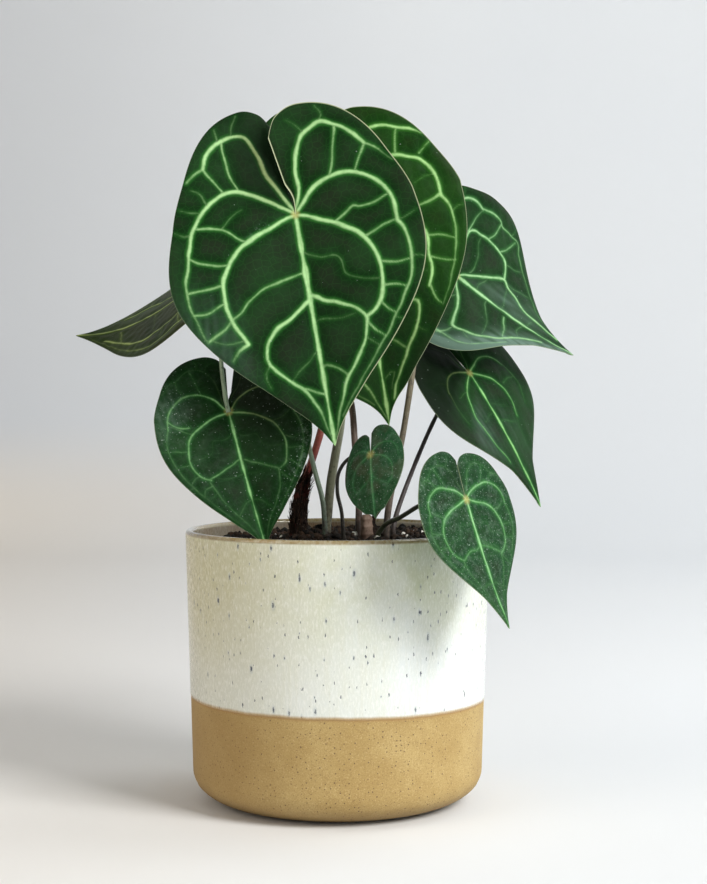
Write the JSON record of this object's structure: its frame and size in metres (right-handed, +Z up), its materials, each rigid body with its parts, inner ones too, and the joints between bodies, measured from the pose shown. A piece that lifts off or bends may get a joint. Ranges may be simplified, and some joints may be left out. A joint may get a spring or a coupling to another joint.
{
  "type": "potted anthurium clarinervium",
  "caption": "Anthurium clarinervium with heart-shaped, pale-veined leaves on long petioles, growing from soil in a round glazed pot with a bare clay foot.",
  "frame": {"origin": "centre of the flat underside of the pot, where it stands", "axes": "+Z up along the pot's axis, -Y towards the side that the large front leaf faces, +X to its right as seen from there"},
  "size_m": [0.2631, 0.1922, 0.3432],
  "materials": {
    "pot": "glossy cream glaze with dark specks above a matt tan clay foot",
    "soil": "crumbly dark potting mix with white perlite",
    "blade": "velvety dark green with pale green veins",
    "petiole": "satin grey-green, brown or red stem skin",
    "husk": "dry fibrous brown"
  },
  "bodies": {
    "root": {"pot": "pot", "soil": "soil", "blade_front": "blade", "blade_rear": "blade", "blade_upper_right": "blade", "blade_upper_left": "blade", "blade_lower_left": "blade", "blade_middle_right": "blade", "blade_lower_right": "blade", "blade_small": "blade", "petiole_front": "petiole", "petiole_rear": "petiole", "petiole_upper_right": "petiole", "petiole_upper_left": "petiole", "petiole_lower_left": "petiole", "petiole_middle_right": "petiole", "petiole_lower_right": "petiole", "petiole_small": "petiole", "bud_scale": "husk", "stem_stub": "petiole", "young_shoot": "husk"}
  },
  "joints": []
}
